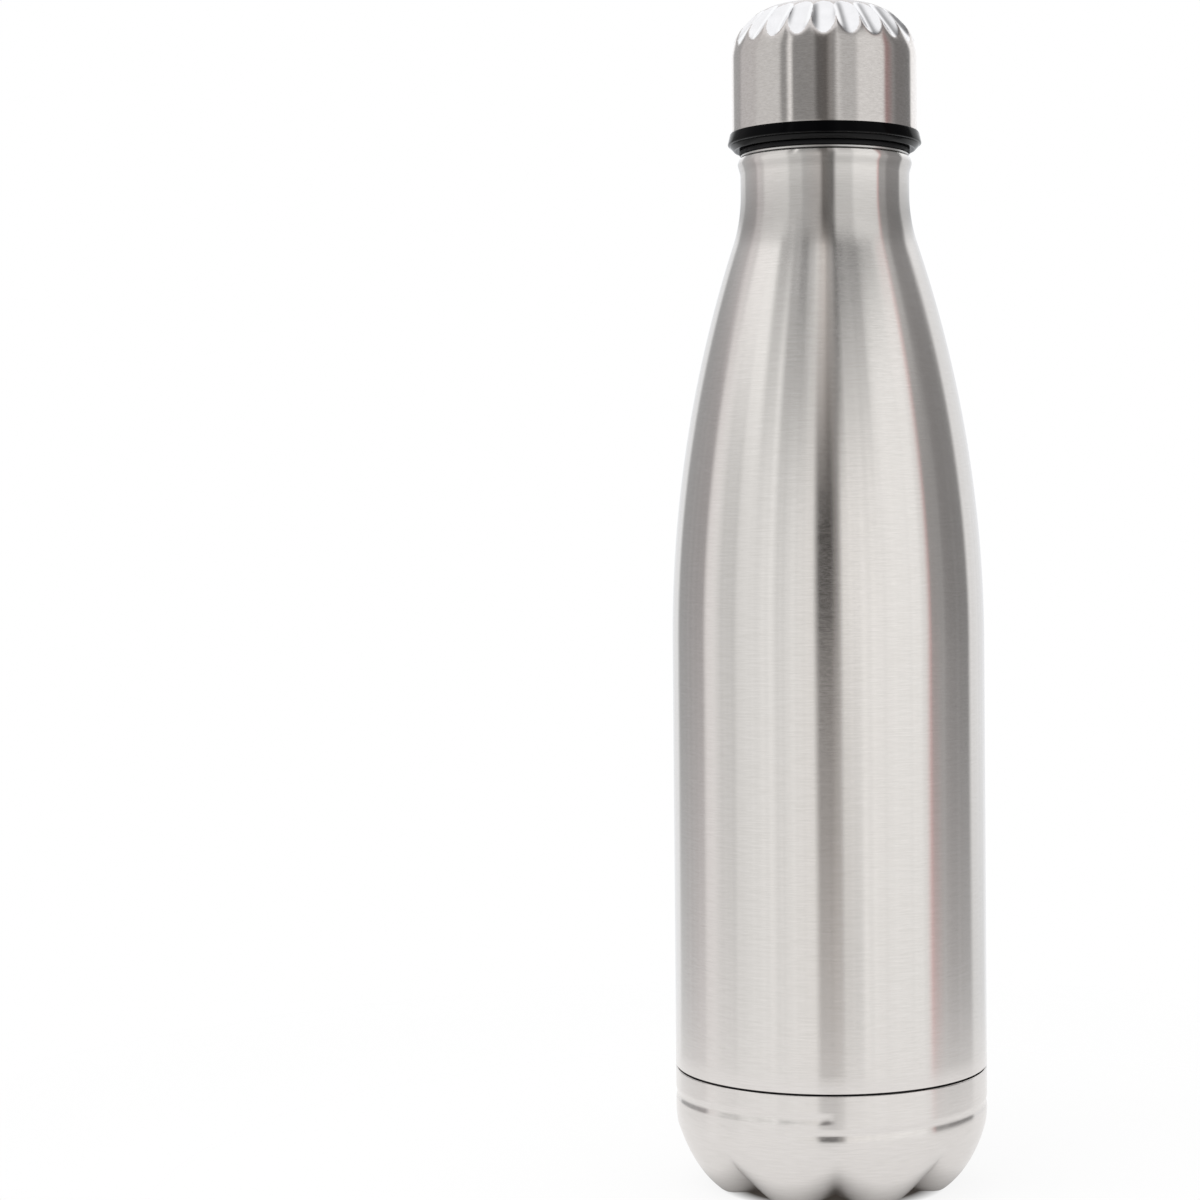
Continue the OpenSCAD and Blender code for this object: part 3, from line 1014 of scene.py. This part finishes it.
@dataclass
class ClearCup(Part):
    """The clear compartment in the lower body, with the threaded collar at its mouth."""

    columns: int = 256
    mouth_z: float = 13.0
    top_z: float = 80.0
    wall: float = 1.4
    corner: float = 4.0
    edge: float = 0.4
    step_up: float = 0.1
    first_row: float = 0.2
    collar_r: float = 32.9
    collar_low: float = 13.5
    collar_high: float = 25.0
    thread_low: float = 14.3
    thread_high: float = 24.2
    thread_height: float = 0.8

    def build(self) -> None:
        """Makes, dresses and mounts the cup."""
        f = self.flask
        cup_r = f.body_r - f.shell_wall - f.glue
        step = f.shell_z0 + self.step_up
        collar_in = self.collar_r - self.wall
        cup_in = cup_r - self.wall
        edge, corner = self.edge, self.corner
        bend = (cup_r - corner, self.top_z - corner)
        profile = [
            *arc((self.collar_r - edge, self.mouth_z + edge), edge, -90, 0, 4),
            *line((self.collar_r, self.collar_low), (self.collar_r, self.collar_high), 150),
            (self.collar_r, step),
            (cup_r, step),
            *line((cup_r, step + self.first_row), (cup_r, bend[1]), 12),
            *arc(bend, corner, 0, 90, 10),
            (cup_r - 2 * corner, self.top_z),
            (0.0, self.top_z),
            (0.0, self.top_z - self.wall),
            *arc(bend, corner - self.wall, 90, 0, 8),
            *line((cup_in, bend[1]), (cup_in, step + self.wall + cup_in - collar_in), 12),
            (collar_in, step + self.wall),
            *arc((collar_in + edge, self.mouth_z + edge), edge, 180, 270, 4),
        ]
        piece = turned("clear_cup", profile, self.columns, True)
        thread = Thread(
            f.base_pitch, f.base_thread_z + f.base_pitch / 2, self.thread_low, self.thread_high,
            self.thread_height, half_width=0.95, flat=0.3,
        )
        threaded(piece, thread, self.collar_r - BAND, self.collar_r + BAND)
        smoothed(piece, 40)
        piece.data.materials.append(self.finishes.clear)
        reported(piece, Body.BODY, Slot.CLEAR, "compartment_cup")


@dataclass
class SealRings(Part):
    """The two silicone rings: under the flange, and round the clear collar."""

    columns: int = 192
    edge: float = 0.25
    lip_in: float = 0.2
    lip_r: float = 19.1
    lip_up: float = 0.1
    collar_r0: float = 33.0
    collar_r1: float = 34.1
    collar_h: float = 1.8

    def ring(self, name: str, r0: float, r1: float, z0: float, z1: float) -> Piece:
        """A ring with rounded edges.

        Args:
            name: Name of the piece.
            r0: Inner radius in mm.
            r1: Outer radius in mm.
            z0: Lower height in mm.
            z1: Upper height in mm.

        Returns:
            The ring.
        """
        e = self.edge
        profile = [
            *arc((r0 + e, z0 + e), e, 180, 270, 4),
            *arc((r1 - e, z0 + e), e, -90, 0, 4),
            *arc((r1 - e, z1 - e), e, 0, 90, 4),
            *arc((r0 + e, z1 - e), e, 90, 180, 4),
        ]
        piece = turned(name, profile, self.columns, True)
        smoothed(piece, 50)
        piece.data.materials.append(self.finishes.silicone)
        return piece

    def build(self) -> None:
        """Makes, dresses and mounts both rings."""
        f = self.flask
        seat = f.lip_z + self.lip_up
        lip = self.ring("lip_ring", f.plug_r + self.lip_in, self.lip_r, seat, f.flange_z)
        reported(lip, Body.CAP_LIFT, Slot.SILICONE, "cap_seal")
        foot = f.shell_z0 - self.collar_h
        cup = self.ring("collar_ring", self.collar_r0, self.collar_r1, foot, f.shell_z0)
        reported(cup, Body.BODY_LIFT, Slot.SILICONE, "compartment_seal")


@dataclass
class HiddenPieces:
    """Inner pieces whose CAD solids are kept, each with its own finish."""

    finishes: Finishes

    def build(self) -> None:
        """Dresses the kept solids."""
        dress = {
            "vacuum_bottom": self.finishes.inner,
            "getter": self.finishes.inner,
            "vacuum_seal_bead": self.finishes.bead,
            "plug_foam": self.finishes.foam,
        }
        for name, finish in dress.items():
            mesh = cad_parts[name].data
            mesh.materials.clear()
            mesh.materials.append(finish)
            log.info("%s: kept, in %s", name, finish.name)


# Studio

Row = tuple[tuple[float, float], ...]
WHITE = (1.0, 1.0, 1.0)


@dataclass
class Studio:
    """White studio: what the steel mirrors, the floor, a soft lamp and the camera.

    Each row lists the grey cards that stand round the flask at one height, from left to right: the
    azimuth of the card's left edge, in degrees from the camera's side, and its brightness. Rows
    low to high stand far off, one above the other; rows neck and cap stand on a ring close to the
    cap. Where one row, or one shade, passes into the next is given as a pair: for far rows the
    height of a mirrored ray's direction, elsewhere a height or a distance from the axis in m.
    tints gives red, green and blue as shares of a card's brightness: everywhere, and what is added
    in front, at the sides and behind.
    """

    low: Row = (
        (-145, 0.75), (-115, 0.85), (-60, 0.95), (-9, 0.85), (7, 0.6), (24, 0.95), (78, 0.65),
        (95, 0.6), (130, 0.8), (160, 0.95),
    )
    mid: Row = (
        (-145, 0.4), (-103, 0.9), (-88, 0.7), (-70, 0.9), (-50, 1.0), (-40, 0.85), (-30, 0.95),
        (-9, 0.02), (5, 0.3), (9, 1.05), (73, 0.9), (79, 0.35), (95, 0.25), (126, 0.9),
    )
    rise: Row = (
        (-145, 0.6), (-112, 0.8), (-95, 1.1), (-58, 0.7), (-46, 1.0), (-40, 0.45), (-18, 0.65),
        (-2, 0.35), (8, 0.15), (14, 0.65), (40, 1.1), (80, 0.6), (92, 0.3), (124, 1.1),
    )
    high: Row = (
        (-126, 0.6), (-100, 1.05), (-64, 0.45), (-32, 0.2), (-22, 0.5), (-14, 0.75), (1, 0.4),
        (10, 0.1), (22, 0.2), (50, 0.3), (66, 0.5), (84, 0.45), (94, 0.3), (120, 1.2),
    )
    neck: Row = (
        (-145, 0.5), (-110, 0.7), (-95, 0.9), (-52, 0.7), (-32, 0.55), (-5, 0.2), (14, 0.8),
        (40, 1.0), (80, 0.45), (95, 0.3), (127, 0.8),
    )
    cap: Row = (
        (-145, 0.5), (-122, 0.7), (-90, 0.8), (-54, 0.4), (-44, 1.2), (-39, 0.35), (-10, 0.15),
        (5, 0.35), (14, 0.8), (20, 0.65), (40, 0.95), (78, 0.35), (95, 0.25), (130, 1.3),
    )
    soft: float = 5.0
    above_left: Colour = (1.1, 1.1, 1.11)
    above_right: Colour = (0.12, 0.12, 0.125)
    left_to_right: Point = (0.18, 0.6)
    low_to_mid: Point = (-0.2, -0.07)
    mid_to_rise: Point = (0.24, 0.44)
    rise_to_high: Point = (0.5, 0.6)
    high_to_above: Point = (0.66, 0.86)
    streaks: float = 90.0
    uneven: Point = (0.95, 1.04)
    red_edge: float = 80.5
    red: Colour = (1.25, 0.85, 0.83)
    tints: tuple[tuple[float, ...], ...] = (
        (1.0, 0.06, 0.03, -0.02), (1.0, -0.015, -0.015, 0.0), (0.985, -0.055, 0.0, 0.045)
    )
    front_half: float = 14.0
    side_at: float = 108.0
    side_half: float = 22.0
    behind_from: float = 110.0
    cap_r: float = 0.021
    ring_r: float = 0.03
    ring_z: float = 0.242
    ring_h: float = 0.06
    neck_to_cap: Point = (0.231, 0.237)
    dim_to_full: Point = (0.2195, 0.2265)
    dim: float = 0.65
    ring_foot: Point = (0.2155, 0.2205)
    ring_end: Point = (0.26, 0.27)
    floor_size: float = 1.2
    floor_drop: float = 0.0003
    # painted shade: the warm dark colour of a disc painted on the floor under the flask; the two
    # spans further down are the radii over which it fades, for the camera and for the steel's
    # reflections
    painted_shadow: Colour = (0.05, 0.042, 0.036)
    mirrored_floor: Colour = (0.96, 0.95, 0.94)
    matte_floor: float = 0.93
    painted_shadow_seen: Point = (0.021, 0.026)
    painted_shadow_mirrored: Point = (0.022, 0.034)
    floor_gone: Point = (0.11, 0.26)
    seen_glow: float = 0.86
    mirrored_glow: float = 0.75
    lamp_at: tuple[float, float, float] = (-0.45, -0.55, 1.0)
    lamp_size: Point = (0.9, 0.7)
    lamp_watts: float = 2.5
    eye: tuple[float, float, float] = (0.0, -588.33, 150.25)
    yaw: float = 2.357
    pitch: float = -1.07
    roll: float = -0.463
    lens: float = 78.37
    shift: Point = (-0.10, -0.03)

    def tint(self, azimuth: float) -> Colour:
        """Slight colour of the studio: warm in front, cool behind, one thin red edge."""
        if azimuth == self.red_edge:
            return self.red
        front = max(0.0, 1.0 - abs(azimuth) / self.front_half)
        side = max(0.0, 1.0 - abs(abs(azimuth) - self.side_at) / self.side_half)
        behind = max(0.0, (abs(azimuth) - self.behind_from) / (180.0 - self.behind_from))
        return tuple(float(np.dot(shares, (1.0, front, side, behind))) for shares in self.tints)

    def on_ring(self, azimuth: float) -> float:
        """Where a ray that the cap mirrors to an azimuth meets the ring of cards.

        Args:
            azimuth: Direction of the mirrored ray in degrees, up to half a turn either way.

        Returns:
            The azimuth on the ring in degrees.
        """
        turn = math.radians(azimuth)
        x, y = self.cap_r * math.sin(turn / 2), self.cap_r * math.cos(turn / 2)
        along = x * math.sin(turn) + y * math.cos(turn)
        reach = math.sqrt(along * along + self.ring_r**2 - self.cap_r**2) - along
        return math.degrees(math.atan2(x + reach * math.sin(turn), y + reach * math.cos(turn)))

    def ramp(self, b: Board, row: Row, place: Socket, near: bool = False) -> Socket:
        """A row of cards with soft edges round the flask.

        Args:
            b: The board that it joins.
            row: The cards.
            place: The azimuth as a share of the turn, 0.5 at the camera's side.
            near: Whether the cards stand on the ring close to the cap.

        Returns:
            The colour socket.
        """
        levels = [row[-1][1], *(level for _, level in row)]
        stops = [(-180.0, levels[0]), (180.0, levels[-1])]
        for k, (azimuth, level) in enumerate(row):
            stops += [(azimuth - self.soft / 2, levels[k]), (azimuth + self.soft / 2, level)]
        stops.sort()
        stops.append((self.red_edge, float(np.interp(self.red_edge, *zip(*stops)))))
        node = b.add("ValToRGB", place)
        elements = node.color_ramp.elements
        elements.remove(elements[-1])
        for k, (azimuth, level) in enumerate(sorted(stops)):
            at = (self.on_ring(azimuth) if near else azimuth) / 360 + 0.5
            element = elements[0] if k == 0 else elements.new(at)
            element.position = at
            element.color = (*(level * t for t in self.tint(azimuth)), 1.0)
        return node.outputs[0]

    def placed(self, b: Board, place: Socket) -> tuple[Socket, Socket, Socket]:
        """Reads a place or a direction round the flask.

        Args:
            b: The board.
            place: The place or direction.

        Returns:
            Its azimuth as a share of the turn, 0.5 at the camera's side, its x and its z.
        """
        x, y, z = b.add("SeparateXYZ", place).outputs
        turn = b.figured("ARCTAN2", x, b.figured("MULTIPLY", y, -1.0))
        return b.figured("ADD", b.figured("DIVIDE", turn, math.tau), 0.5), x, z

    def world(self) -> None:
        """Makes the surroundings: cards for the steel, plain white for the camera."""
        world = bpy.data.worlds.new("studio")
        bpy.context.scene.world = world
        world.use_nodes = True
        b = Board(world.node_tree)
        share, x, up = self.placed(b, b.add("TexCoord").outputs["Generated"])
        sides = b.ranged(x, *self.left_to_right, smooth=True)
        colour = self.ramp(b, self.low, share)
        for span, layer in (
            (self.low_to_mid, self.ramp(b, self.mid, share)),
            (self.mid_to_rise, self.ramp(b, self.rise, share)),
            (self.rise_to_high, self.ramp(b, self.high, share)),
            (self.high_to_above, b.blended(sides, self.above_left, self.above_right)),
        ):
            colour = b.blended(b.ranged(up, *span, smooth=True), colour, layer)
        noise = b.add("TexNoise", Scale=self.streaks, Detail=2.0)
        noise.noise_dimensions = "1D"
        b.put(noise, "W", share)
        streaks = b.ranged(noise.outputs["Fac"], *NOISE, *self.uneven)
        colour = b.blended(1.0, colour, streaks, "MULTIPLY")
        rays = b.add("LightPath").outputs
        plain = b.figured("MAXIMUM", rays["Is Camera Ray"], rays["Is Transmission Ray"])
        plain = b.figured("MAXIMUM", plain, rays["Is Diffuse Ray"])
        background = b.tree.nodes["Background"]
        b.put(background, "Color", b.blended(plain, colour, WHITE))
        b.put(background, "Strength", 1.0)

    def floor(self) -> None:
        """Makes the pale floor, open from below, with a faint real shade from its matte share and
        painted shade: a dark disc under the flask, which the camera and the steel's reflections both
        see.
        """
        deselected()
        place = (0, 0, -self.floor_drop)
        bpy.ops.mesh.primitive_plane_add(size=self.floor_size, location=place)
        plane = bpy.context.active_object
        plane.name = "floor"
        b = Material("floor_white_painted_shade")
        reach = b.add("VectorMath", b.add("TexCoord").outputs["Object"])
        reach.operation = "LENGTH"
        away = reach.outputs["Value"]
        rays = b.add("LightPath").outputs
        # painted shade: a dark disc under the flask, for the camera and, with its own radii, for rays
        # that the steel mirrors
        seen = b.blended(b.ranged(away, *self.painted_shadow_seen), self.painted_shadow, WHITE)
        mirrored = b.blended(
            b.ranged(away, *self.painted_shadow_mirrored), self.painted_shadow, self.mirrored_floor
        )
        colour = b.blended(rays["Is Camera Ray"], mirrored, seen)
        # the glow makes the floor evenly white, apart from the painted dark disc, for the camera and
        # for the steel's reflections
        glow = b.add("Emission", Color=colour, Strength=1.0)
        matte = b.add("BsdfDiffuse", Color=(*(self.matte_floor,) * 3, 1.0))
        share = b.figured("MULTIPLY", rays["Is Camera Ray"], self.seen_glow)
        share = b.figured("MULTIPLY_ADD", rays["Is Glossy Ray"], self.mirrored_glow, share)
        white = b.add("MixShader", share, matte.outputs[0], glow.outputs[0])
        below = b.add("NewGeometry").outputs["Backfacing"]
        gone = b.figured("MAXIMUM", below, b.ranged(away, *self.floor_gone))
        b.surfaced(gone, white.outputs[0], b.add("BsdfTransparent").outputs[0])
        plane.data.materials.append(b.material)

    def screen(self) -> None:
        """Stands a ring of cards round the cap, which only its steel mirrors."""
        deselected()
        bpy.ops.mesh.primitive_cylinder_add(
            vertices=128, radius=self.ring_r, depth=self.ring_h, end_fill_type="NOTHING",
            location=(0, 0, self.ring_z),
        )
        ring = bpy.context.active_object
        bpy.ops.object.transform_apply(location=True, rotation=False, scale=False)
        ring.name = "cards"
        b = Material("cards_round_cap")
        share, _, z = self.placed(b, b.add("TexCoord").outputs["Object"])
        cards = (self.ramp(b, row, share, near=True) for row in (self.neck, self.cap))
        colour = b.blended(b.ranged(z, *self.neck_to_cap), *cards)
        strength = b.ranged(z, *self.dim_to_full, self.dim, 1.0)
        glow = b.add("Emission", Color=colour, Strength=strength)
        end = b.ranged(z, *self.ring_end, 1.0, 0.0)
        there = b.figured("MULTIPLY", b.ranged(z, *self.ring_foot), end)
        b.surfaced(there, b.add("BsdfTransparent").outputs[0], glow.outputs[0])
        ring.data.materials.append(b.material)
        ring.visible_camera = False
        ring.visible_diffuse = False
        ring.visible_transmission = False
        ring.visible_shadow = False

    def lamp(self) -> None:
        """Adds one soft overhead lamp, which the steel doesn't mirror."""
        light = bpy.data.lights.new("softbox", "AREA")
        light.shape = "RECTANGLE"
        light.size, light.size_y = self.lamp_size
        light.energy = self.lamp_watts
        lamp = bpy.data.objects.new("softbox", light)
        bpy.context.scene.collection.objects.link(lamp)
        lamp.location = self.lamp_at
        direction = lamp.location * -1
        lamp.rotation_euler = direction.to_track_quat("-Z", "Y").to_euler()
        lamp.visible_glossy = False

    def camera(self) -> None:
        """Places the camera at the photograph's viewing angle."""
        data = bpy.data.cameras.new("camera")
        data.sensor_width = 36.0
        data.lens = self.lens
        data.shift_x, data.shift_y = self.shift
        data.clip_start = 0.01
        camera = bpy.data.objects.new("camera", data)
        bpy.context.scene.collection.objects.link(camera)
        place = Matrix.Translation([v * MM for v in self.eye])
        for angle, axis in ((self.yaw, "Z"), (90 + self.pitch, "X"), (self.roll, "Z")):
            place = place @ Matrix.Rotation(math.radians(angle), 4, axis)
        camera.matrix_world = place
        bpy.context.scene.camera = camera

    def build(self) -> None:
        """Makes the whole studio."""
        self.camera()
        self.world()
        self.floor()
        self.screen()
        self.lamp()
        scene = bpy.context.scene
        scene.view_settings.view_transform = "Standard"
        log.info("studio ready")


def main() -> None:
    """Builds the studio and every piece."""
    logging.basicConfig(level=logging.INFO, format="%(name)s: %(message)s")
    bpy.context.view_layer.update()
    Studio().build()
    finishes = Finishes()
    flask = Flask()
    PetalBase(flask, finishes).build()
    BodyWall(flask, finishes).build()
    DrinkingWall(flask, finishes).build()
    ClearCup(flask, finishes).build()
    SealRings(flask, finishes).build()
    Stopper(flask, finishes).build()
    SteelCap(flask, finishes).build()
    HiddenPieces(finishes).build()
    deselected()


if __name__ == "__main__":
    main()
